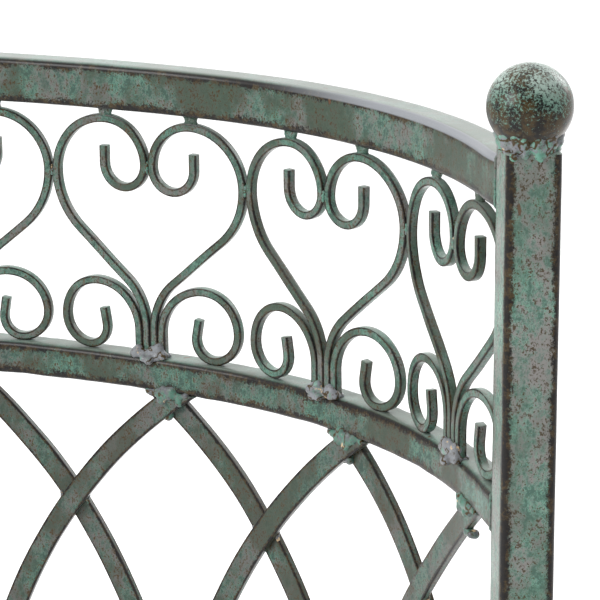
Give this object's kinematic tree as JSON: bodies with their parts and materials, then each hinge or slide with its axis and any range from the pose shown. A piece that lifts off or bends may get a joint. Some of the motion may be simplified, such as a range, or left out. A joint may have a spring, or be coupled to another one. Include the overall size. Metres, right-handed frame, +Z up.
{
  "type": "trellis panel",
  "caption": "Free-standing trellis panel of welded iron, bowed in plan: square posts with ball finials, a heart scroll frieze and a lattice of interlaced pointed arches for climbing plants.",
  "frame": {"origin": "on the ground, at the centre of the panel's box in plan", "axes": "+Z up; +Y towards the middle of the bow, away from the two posts; +X along the line of the posts, towards the right post as seen from the hollow side"},
  "size_m": [0.9958, 0.3974, 1.0375],
  "materials": {
    "weathered_green_iron": "thin weathered grey-green paint over iron, matt, mottled, worn to dark brown metal and rust along the edges",
    "bare_iron": "dark brown-black iron, semi-matt, speckled with the remains of green paint"
  },
  "bodies": {
    "root": {"right_post": "weathered_green_iron", "left_post": "weathered_green_iron", "right_finial": "bare_iron", "left_finial": "bare_iron", "weld_collars": "bare_iron", "top_rail": "weathered_green_iron", "middle_rail": "weathered_green_iron", "bottom_rail": "weathered_green_iron", "back_feet": "weathered_green_iron", "frieze_pegs": "weathered_green_iron", "heart_scroll_1": "weathered_green_iron", "heart_scroll_2": "weathered_green_iron", "heart_scroll_3": "weathered_green_iron", "heart_scroll_4": "weathered_green_iron", "heart_scroll_5": "weathered_green_iron", "heart_scroll_6": "weathered_green_iron", "heart_scroll_7": "weathered_green_iron", "heart_scroll_8": "weathered_green_iron", "heart_scroll_9": "weathered_green_iron", "heart_scroll_10": "weathered_green_iron", "heart_scroll_11": "weathered_green_iron", "base_scrolls_1": "weathered_green_iron", "base_scrolls_2": "weathered_green_iron", "base_scrolls_3": "weathered_green_iron", "base_scrolls_4": "weathered_green_iron", "base_scrolls_5": "weathered_green_iron", "base_scrolls_6": "weathered_green_iron", "base_scrolls_7": "weathered_green_iron", "base_scrolls_8": "weathered_green_iron", "base_scrolls_9": "weathered_green_iron", "base_scrolls_10": "weathered_green_iron", "base_scrolls_11": "weathered_green_iron", "front_lattice_bar_1": "weathered_green_iron", "front_lattice_bar_2": "weathered_green_iron", "front_lattice_bar_3": "weathered_green_iron", "front_lattice_bar_4": "weathered_green_iron", "front_lattice_bar_5": "weathered_green_iron", "front_lattice_bar_6": "weathered_green_iron", "front_lattice_bar_7": "weathered_green_iron", "front_lattice_bar_8": "weathered_green_iron", "front_lattice_bar_9": "weathered_green_iron", "front_lattice_bar_10": "weathered_green_iron", "back_lattice_bar_1": "weathered_green_iron", "back_lattice_bar_2": "weathered_green_iron", "back_lattice_bar_3": "weathered_green_iron", "back_lattice_bar_4": "weathered_green_iron", "back_lattice_bar_5": "weathered_green_iron", "back_lattice_bar_6": "weathered_green_iron", "back_lattice_bar_7": "weathered_green_iron", "back_lattice_bar_8": "weathered_green_iron", "back_lattice_bar_9": "weathered_green_iron", "back_lattice_bar_10": "weathered_green_iron"}
  },
  "joints": []
}
